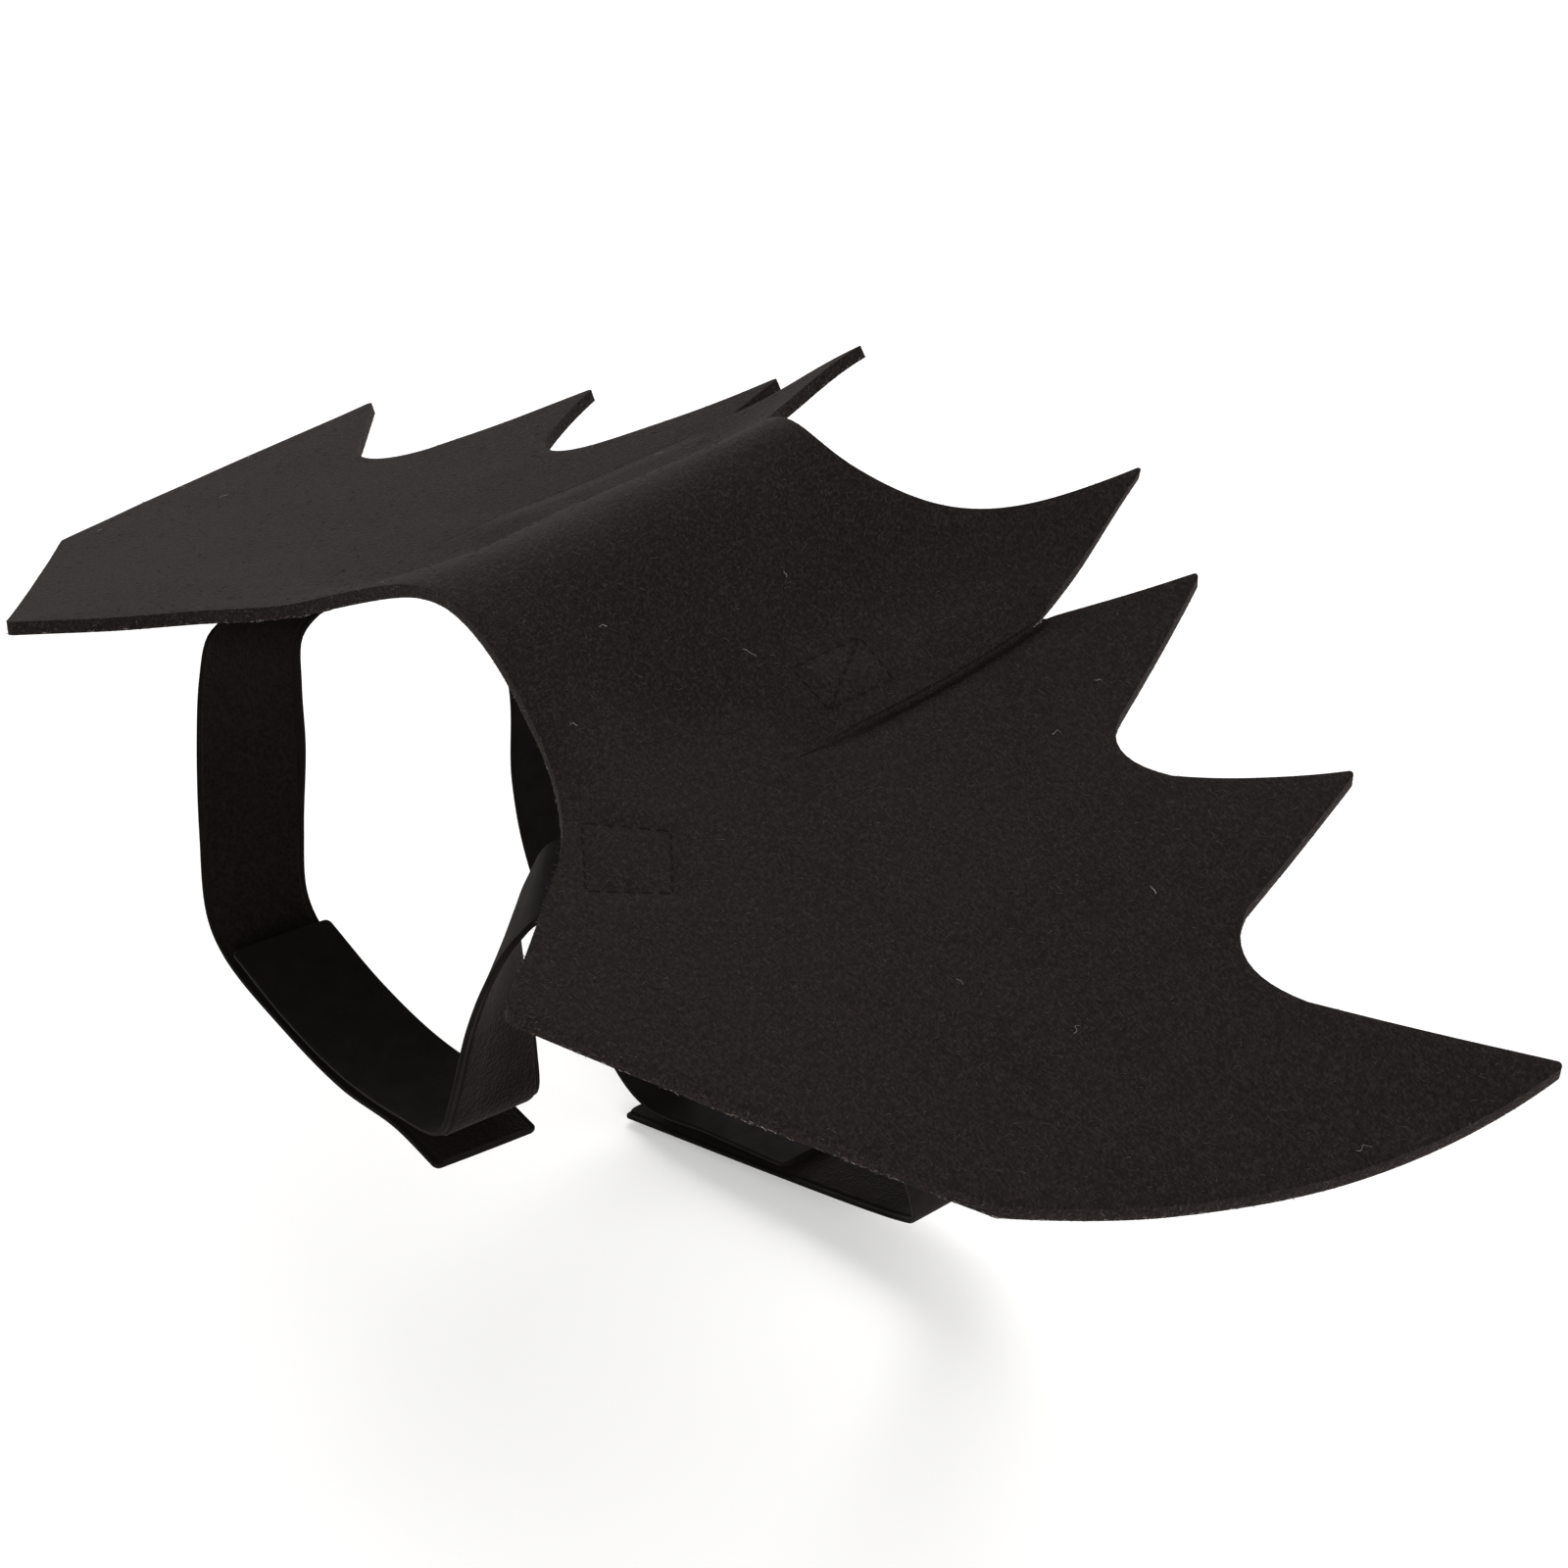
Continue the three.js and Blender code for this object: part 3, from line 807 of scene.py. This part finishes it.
def fibres(name, roots, along, out, length, radius, lift, curl, turns, rings=4):
    """One mesh of many fibres. Each starts at its root and curls sideways as it goes along."""
    along = unit(along)
    side = unit(np.cross(out, along))
    out = np.cross(along, side)
    s = np.linspace(0, 1, rings)[None, :, None]
    length, radius, lift, curl = (np.broadcast_to(value, len(roots))[:, None, None]
                                  for value in (length, radius, lift, curl))
    sway = curl * length * np.sin(math.pi * turns * s)
    line = roots[:, None] + along[:, None] * length * s + side[:, None] * sway
    line = line + out[:, None] * lift * np.sin(math.pi * s)
    angle = np.array([0, 1, 2]) * 2 * math.pi / 3
    around = side[:, None] * np.cos(angle)[None, :, None] + out[:, None] * np.sin(angle)[None, :, None]
    places = line[:, :, None] + around[:, None] * (radius * (1 - 0.6 * s))[:, :, None]
    count = len(roots)
    first = np.arange(count)[:, None, None] * rings * 3
    level = np.arange(rings - 1)[None, :, None] * 3
    k = np.array([0, 1, 2])[None, None]
    nxt = np.array([1, 2, 0])[None, None]
    here, ahead = first + level, first + level + 3
    quads = np.stack([here + k, here + nxt, ahead + nxt, ahead + k], axis=-1)
    base = np.arange(count)[:, None] * rings * 3
    caps = np.concatenate([base + np.array([[2, 1, 0]]), base + 3 * (rings - 1) + np.array([[0, 1, 2]])])
    piece = mesh_piece(name, places.reshape(-1, 3), quads.reshape(-1, 4).tolist() + caps.tolist())
    choose(piece)
    bpy.ops.object.shade_smooth()
    print(name, "fibres", count, "faces", len(piece.data.polygons))
    return piece


# %% Fibres on both faces of the felt
FACE_FIBRES = 9000
UPPER_SHARE = 0.62  # share of the fibres that lies on the upper face
corner_places = np.array([[flat[i][:] for i in face] for face in flat_faces])
ab, ac = corner_places[:, 1] - corner_places[:, 0], corner_places[:, 2] - corner_places[:, 0]
weights = np.abs(ab[:, 0] * ac[:, 1] - ab[:, 1] * ac[:, 0])
weights /= weights.sum()


def strewn_on_felt(count, offset):
    """Random places on the upper and lower face, with the direction out of the felt and one along it."""
    chosen = dice.choice(len(flat_faces), count, p=weights)
    shares = dice.dirichlet((1, 1, 1), count)
    spots = (corner_places[chosen] * shares[:, :, None]).sum(axis=1)
    faces = np.where(dice.random(count) < UPPER_SHARE, 1.0, -1.0)
    places = [worn_place(Vector(spot)) for spot in spots]
    normals = np.array([felt_normal(*place) for place in places])
    reach = [upper_face(*place) + offset if side > 0 else lower_face(*place) - offset
             for side, place in zip(faces, places)]
    roots = np.array([off_felt(*place, r) for place, r in zip(places, reach)])
    heading = dice.normal(size=(count, 3))
    heading -= normals * (heading * normals).sum(axis=1)[:, None]
    return roots, heading, normals * faces[:, None]


roots, heading, out = strewn_on_felt(FACE_FIBRES, -0.02)
face_fuzz = fibres("felt_fibres", roots, heading, out, length=dice.uniform(0.5, 1.7, FACE_FIBRES),
                   radius=dice.uniform(0.04, 0.09, FACE_FIBRES), lift=dice.uniform(0.0, 0.2, FACE_FIBRES),
                   curl=dice.uniform(-0.35, 0.35, FACE_FIBRES), turns=1, rings=3)

# %% Fibres along the cut edge
EDGE_FIBRES = 4200
edge_ends = np.roll(ring, -1, axis=0)
edge_lengths = np.hypot(*(edge_ends - ring).T)
turn_sign = np.sign((ring[:, 0] * edge_ends[:, 1] - ring[:, 1] * edge_ends[:, 0]).sum())


def along_the_edge(count, skipped):
    """Random places on the flat outline, with the directions along it and out of it."""
    chances = np.where(skipped, 0, edge_lengths)
    chosen = dice.choice(len(ring), count, p=chances / chances.sum())
    part = dice.random(count)[:, None]
    spots = ring[chosen] * (1 - part) + edge_ends[chosen] * part
    forward = (edge_ends - ring)[chosen] / edge_lengths[chosen][:, None]
    return spots, forward, np.stack([forward[:, 1], -forward[:, 0]], axis=1) * turn_sign


def edge_places(spots, heights, outward, reach):
    """Laid places on the cut edge, or a little outside it."""
    places = [worn_place(Vector(spot - 0.3 * away)) for spot, away in zip(spots, outward)]
    return np.array([off_felt(x + away[0] * reach, y + away[1] * reach, is_panel, height)
                     for (x, y, is_panel), away, height in zip(places, outward, heights)])


on_slit = np.array([is_slit((start + end) / 2) for start, end in zip(ring, edge_ends)])
spots, _, outward = along_the_edge(EDGE_FIBRES, on_slit)
heights = dice.uniform(-1.35, 1.35, EDGE_FIBRES)
roots = edge_places(spots, heights, outward, 0.2)
out = unit(edge_places(spots, heights, outward, 1.2) - roots)
heading = out * dice.uniform(0.15, 1.0, EDGE_FIBRES)[:, None] + dice.normal(scale=0.75, size=(EDGE_FIBRES, 3))
sideways = np.cross(heading, dice.normal(size=(EDGE_FIBRES, 3)))
edge_fuzz = fibres("edge_fibres", roots, heading, sideways, length=dice.uniform(0.3, 1.1, EDGE_FIBRES),
                   radius=dice.uniform(0.025, 0.06, EDGE_FIBRES), lift=0.1,
                   curl=dice.uniform(-0.4, 0.4, EDGE_FIBRES), turns=1)

# %% Fibres along the lower rim, painted pale as a highlight where the rim catches the light
RIM_FIBRES = 9000
on_tip = edge_lengths < 0.5 * EDGE_STEP
near_tip = on_tip | np.roll(on_tip, 1) | np.roll(on_tip, -1)
spots, forward, outward = along_the_edge(RIM_FIBRES, on_slit | near_tip)
heights = dice.normal(-1.25, 0.1, RIM_FIBRES)
roots = edge_places(spots, heights, outward, 0.12)
out = edge_places(spots, heights, outward, 1.0) - roots
heading = unit(edge_places(spots + 0.8 * forward, heights, outward, 0.12) - roots)
heading += dice.normal(scale=0.16, size=(RIM_FIBRES, 3))
rim_highlight_fuzz = fibres("rim_fibres", roots, heading, out, length=dice.uniform(0.5, 1.3, RIM_FIBRES),
                  radius=dice.uniform(0.03, 0.06, RIM_FIBRES), lift=0.1,
                  curl=dice.uniform(-0.12, 0.12, RIM_FIBRES), turns=1)

# %% Pale lint on the felt
LINT = 30
roots, heading, out = strewn_on_felt(LINT, 0.05)
lint = fibres("pale_lint", roots, heading, out, length=dice.uniform(0.8, 3.4, LINT),
              radius=dice.uniform(0.04, 0.065, LINT), lift=dice.uniform(0.1, 0.5, LINT),
              curl=dice.uniform(-0.16, 0.16, LINT), turns=2.6, rings=10)

# %% [markdown]
# Finishes
#
# Every colour and bump comes from nodes, because the parts are used without pictures.
# Shader sums are long when each node is placed by hand, so a small class wraps a socket.
# Plus, minus and times on it add the Math node, and one method adds any other node.

# %% A small class for shader sums
class Wire:
    """An output socket that can stand in a sum."""

    def __init__(self, finish, socket):
        self.finish = finish
        self.socket = socket

    def join(self, operation, first, second):
        return self.finish.node("ShaderNodeMath", {"operation": operation}, {0: first, 1: second})

    def __add__(self, other):
        return self.join("ADD", self, other)

    def __radd__(self, other):
        return self.join("ADD", other, self)

    def __sub__(self, other):
        return self.join("SUBTRACT", self, other)

    def __rsub__(self, other):
        return self.join("SUBTRACT", other, self)

    def __mul__(self, other):
        return self.join("MULTIPLY", self, other)

    def __rmul__(self, other):
        return self.join("MULTIPLY", other, self)


class Finish:
    """One material, with its shader and a method that adds nodes to it."""

    def __init__(self, name, **constants):
        self.material = bpy.data.materials.new(name)
        self.material.use_nodes = True
        self.tree = self.material.node_tree
        self.shader = self.tree.nodes["Principled BSDF"]
        self.feed(constants)

    def set_socket(self, socket, value):
        if isinstance(value, Wire):
            self.tree.links.new(value.socket, socket)
        else:
            socket.default_value = value

    def feed(self, values):
        for socket_name, value in values.items():
            self.set_socket(self.shader.inputs[socket_name.replace("_", " ")], value)

    def node(self, kind, settings, values, output=0):
        made = self.tree.nodes.new(kind)
        for setting, value in settings.items():
            setattr(made, setting, value)
        for socket, value in values.items():
            self.set_socket(made.inputs[socket], value)
        return Wire(self, made.outputs[output])


print("shader sums ready")


# %% Helpers for patterns that are used more than once
def speckle(finish, place, scale, detail=2.0, stretch=None, turn=0.0):
    """Noise at a place, drawn out in one direction where stretch is given."""
    if stretch:
        values = {"Vector": place, "Rotation": (0, 0, turn), "Scale": stretch}
        place = finish.node("ShaderNodeMapping", {"vector_type": "TEXTURE"}, values)
    return finish.node("ShaderNodeTexNoise", {}, {"Vector": place, "Scale": scale, "Detail": detail})


def stepped(finish, value, low, high):
    """Value brought to the range from 0 at low to 1 at high."""
    return finish.node("ShaderNodeMapRange", {}, {"Value": value, "From Min": low, "From Max": high})


def mixed(finish, share, first, second):
    """A colour between two colours."""
    return finish.node("ShaderNodeMix", {"data_type": "RGBA"}, {0: share, 6: first, 7: second}, output=2)


def bumped(finish, height, strength, depth):
    """A bump for the shader, depth in metres."""
    return finish.node("ShaderNodeBump", {}, {"Strength": strength, "Distance": depth, "Height": height})


print("pattern helpers ready")

# %% [markdown]
# Felt
#
# The felt is black but not even: fine short fibres lie across each other in all directions.
# Three fields of noise, each drawn out and turned another way, give such crossing streaks.
# Sheen on the shader stands for the loose fibres that brighten the felt where it is seen along its face.
# The sewn edge of each dart is pressed into a groove, and the shadow in that groove is painted as a dark line
# along the seam.

# %% Mix the felt finish
FELT_DARK = (0.0035, 0.0026, 0.0024, 1)
FELT_LIGHT = (0.0141, 0.0105, 0.0097, 1)
PAINTED_SEAM_SHADE = (0.0004, 0.0003, 0.0003, 1)
WARM_GREY = (0.9, 0.74, 0.68, 1)
felt_finish = Finish("black_felt", Sheen_Weight=0.048, Sheen_Roughness=0.5, Sheen_Tint=WARM_GREY,
                     Specular_IOR_Level=0.05)
place = felt_finish.node("ShaderNodeTexCoord", {}, {}, output="Object")
streaks = []
for turn in (18, 53, 88):
    drawn_out = speckle(felt_finish, place, 1500.0, 1.0, stretch=(0.7, 2.2, 1.0), turn=math.radians(turn))
    streaks.append(stepped(felt_finish, drawn_out, 0.5, 0.75))
fibre_field = streaks[0] + streaks[1] + streaks[2]
cloud = speckle(felt_finish, place, 38.0, detail=3.0)
grain = speckle(felt_finish, place, 1100.0, stretch=(0.8, 1.6, 1.0), turn=math.radians(53))
share = stepped(felt_finish, fibre_field * 0.6 + cloud * 0.35 + grain * 0.9, 0.5, 1.6)
place_x = felt_finish.node("ShaderNodeSeparateXYZ", {}, {"Vector": place}, output="X")
place_y = felt_finish.node("ShaderNodeSeparateXYZ", {}, {"Vector": place}, output="Y")
from_ridge = felt_finish.node("ShaderNodeMath", {"operation": "ABSOLUTE"}, {0: place_x})
# Painted shade: the base colour is darkened in a thin line along the sewn edge of each dart, from the apex to
# the mouth.
from_seam = from_ridge + place_y * place_y * (SEAM_BOW / MM) - SEAM_X * MM
over_edge = stepped(felt_finish, from_seam, -0.6 * MM, -0.2 * MM)
seam_shade_across = over_edge * stepped(felt_finish, from_seam, 1.0 * MM, 0.5 * MM)
begun = stepped(felt_finish, place_y, 2.0 * MM, 18.0 * MM)
seam_shade_along = begun * stepped(felt_finish, place_y, 64.0 * MM, DART_MOUTH_Y * MM)
felt_colour = mixed(felt_finish, share, FELT_DARK, FELT_LIGHT)
felt_finish.feed({
    "Base Color": mixed(felt_finish, seam_shade_across * seam_shade_along * 0.9, felt_colour, PAINTED_SEAM_SHADE),
    "Roughness": 0.98 - share * 0.12,
    "Normal": bumped(felt_finish, fibre_field * 0.5 + grain + cloud * 0.3, strength=0.4, depth=0.4 * MM),
})
felt.data.materials.append(felt_finish.material)
print("felt nodes", len(felt_finish.tree.nodes))

# %% [markdown]
# Tape, thread, fibres and floor
#
# The woven back of the tape is a fine twill and the loop field a soft pile. Both follow the tape's UV map.
# The UV map is in metres, across and along the tape, so the weave has its true size on every strap.

# %% Mix the finish of the woven tape
TAPE_DARK = (0.0017, 0.0011, 0.0010, 1)
TAPE_LIGHT = (0.0042, 0.0029, 0.0026, 1)
TWILL = 0.6 * MM  # from one rib of the weave to the next
weave_finish = Finish("tape_weave", Sheen_Weight=0.03, Sheen_Roughness=0.4, Sheen_Tint=WARM_GREY,
                      Specular_IOR_Level=0.05)
run = weave_finish.node("ShaderNodeUVMap", {"uv_map": "tape_run"}, {})
across = weave_finish.node("ShaderNodeSeparateXYZ", {}, {"Vector": run}, output="X")
along = weave_finish.node("ShaderNodeSeparateXYZ", {}, {"Vector": run}, output="Y")
slant = (across + along * 0.6) * (2 * math.pi / TWILL)
twill = weave_finish.node("ShaderNodeMath", {"operation": "SINE"}, {0: slant})
weft = weave_finish.node("ShaderNodeMath", {"operation": "SINE"}, {0: along * (2 * math.pi / (0.6 * TWILL))})
wear = speckle(weave_finish, run, 160.0, detail=4.0)
share = stepped(weave_finish, twill * 0.12 + weft * 0.08 + wear, 0.25, 0.95)
weave_finish.feed({
    "Base Color": mixed(weave_finish, share, TAPE_DARK, TAPE_LIGHT),
    "Roughness": 0.86 - share * 0.16,
    "Normal": bumped(weave_finish, twill * 0.4 + weft * 0.3 + wear * 0.6, strength=0.25, depth=0.2 * MM),
})
print("weave nodes", len(weave_finish.tree.nodes))

# %% Mix the finish of the loops
loop_finish = Finish("tape_loops", Sheen_Weight=0.04, Sheen_Roughness=0.45, Sheen_Tint=WARM_GREY,
                     Specular_IOR_Level=0.04)
run = loop_finish.node("ShaderNodeUVMap", {"uv_map": "tape_run"}, {})
pile = loop_finish.node("ShaderNodeTexVoronoi", {}, {"Vector": run, "Scale": 1300.0})
tuft = speckle(loop_finish, run, 420.0, detail=3.0)
share = stepped(loop_finish, pile * 0.8 + tuft * 0.6, 0.3, 1.0)
loop_finish.feed({
    "Base Color": mixed(loop_finish, share, TAPE_DARK, TAPE_LIGHT),
    "Roughness": 0.95 - share * 0.12,
    "Normal": bumped(loop_finish, pile + tuft * 0.6, strength=0.5, depth=0.4 * MM),
})
print("loop nodes", len(loop_finish.tree.nodes))

# %% Give each tape both finishes
for strap in STRAPS:
    piece = tapes[strap.name]
    piece.data.materials.append(weave_finish.material)
    piece.data.materials.append(loop_finish.material)
    size = len(TAPE_PROFILE)
    spans = LOOP_SPANS if strap.loop_side > 0 else [size - 2 - k for k in LOOP_SPANS]
    for face in piece.data.polygons:
        numbers = {index % size for index in face.vertices}
        if len(face.vertices) == 4 and any(numbers == {k, k + 1} for k in spans):
            face.material_index = 1
print("faces of loops", sum(face.material_index for face in tapes["neck_tape_left"].data.polygons))

# %% Mix the thread finish
THREAD_DARK = (0.0019, 0.0015, 0.0014, 1)
THREAD_LIGHT = (0.0064, 0.0048, 0.0044, 1)
thread_finish = Finish("black_thread", Sheen_Weight=0.02, Sheen_Roughness=0.5, Sheen_Tint=WARM_GREY,
                       Specular_IOR_Level=0.05)
place = thread_finish.node("ShaderNodeTexCoord", {}, {}, output="Object")
ply = speckle(thread_finish, place, 2200.0)
thread_finish.feed({
    "Base Color": mixed(thread_finish, ply, THREAD_DARK, THREAD_LIGHT),
    "Roughness": 0.65 + ply * 0.3,
    "Normal": bumped(thread_finish, ply, strength=0.4, depth=0.1 * MM),
})
thread.data.materials.append(thread_finish.material)
print("thread nodes", len(thread_finish.tree.nodes))

# %% Mix the fibre, lint and floor finishes
FUZZ_SHEEN = {"Sheen_Weight": 0.06, "Sheen_Roughness": 0.5, "Sheen_Tint": WARM_GREY}


def dress_fibres(piece, name, dark, light, start, **constants):
    """Give fibres a finish of two tones, which change from one fibre to the next."""
    finish = Finish(name, Specular_IOR_Level=0.15, **constants)
    place = finish.node("ShaderNodeTexCoord", {}, {}, output="Object")
    tone = stepped(finish, speckle(finish, place, 420.0, detail=1.0), start, 0.7)
    finish.feed({"Base Color": mixed(finish, tone, dark, light), "Roughness": 0.9 - tone * 0.15})
    piece.data.materials.append(finish.material)


dress_fibres(face_fuzz, "loose_fibre", (0.014, 0.011, 0.0102, 1), (0.045, 0.038, 0.0355, 1), 0.4,
             **FUZZ_SHEEN)
# Painted highlight: the edge fibres get a paler light tone than the felt, for fuzz on the cut edge that
# catches the light.
dress_fibres(edge_fuzz, "edge_fibre", (0.018, 0.0155, 0.0147, 1), (0.11, 0.1, 0.094, 1), 0.4, **FUZZ_SHEEN)
# Painted highlight: the rim fibres are pale so that they draw the light caught along the lower rim of the cut
# edge.
dress_fibres(rim_highlight_fuzz, "rim_highlight_fibre", (0.10, 0.085, 0.078, 1), (0.34, 0.30, 0.285, 1), 0.35)

lint_finish = Finish("pale_lint", Specular_IOR_Level=0.3)
place = lint_finish.node("ShaderNodeTexCoord", {}, {}, output="Object")
tone = speckle(lint_finish, place, 130.0, detail=1.0)
lint_finish.feed({
    "Base Color": mixed(lint_finish, tone, (0.12, 0.115, 0.11, 1), (0.42, 0.4, 0.38, 1)),
    "Roughness": 0.9 - tone * 0.1,
})
lint.data.materials.append(lint_finish.material)

floor_finish = Finish("pale_floor", Roughness=0.9, Specular_IOR_Level=0.1, Emission_Strength=0.22)
floor_finish.feed({"Base Color": (0.9, 0.895, 0.885, 1)})
floor.data.materials.append(floor_finish.material)
print("finishes", len(bpy.data.materials))

# %% [markdown]
# Handing the pieces to the frame
#
# Each piece is told which body carries it, and the solids that the felt and the tapes stand for are hidden.

pieces = [felt, thread, face_fuzz, edge_fuzz, rim_highlight_fuzz, lint, *tapes.values()]
for piece in pieces:
    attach(piece, "root")
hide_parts("wing_felt")
for strap in STRAPS:
    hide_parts(strap.node)
print("pieces declared", len(pieces))

# %% Compare the sizes and finish
new_low, new_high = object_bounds()
growth = [round(max(a - b, d - c) / MM, 2) for a, b, c, d in zip(cad_low, new_low, cad_high, new_high)]
print("largest growth over the solid model in mm", growth)
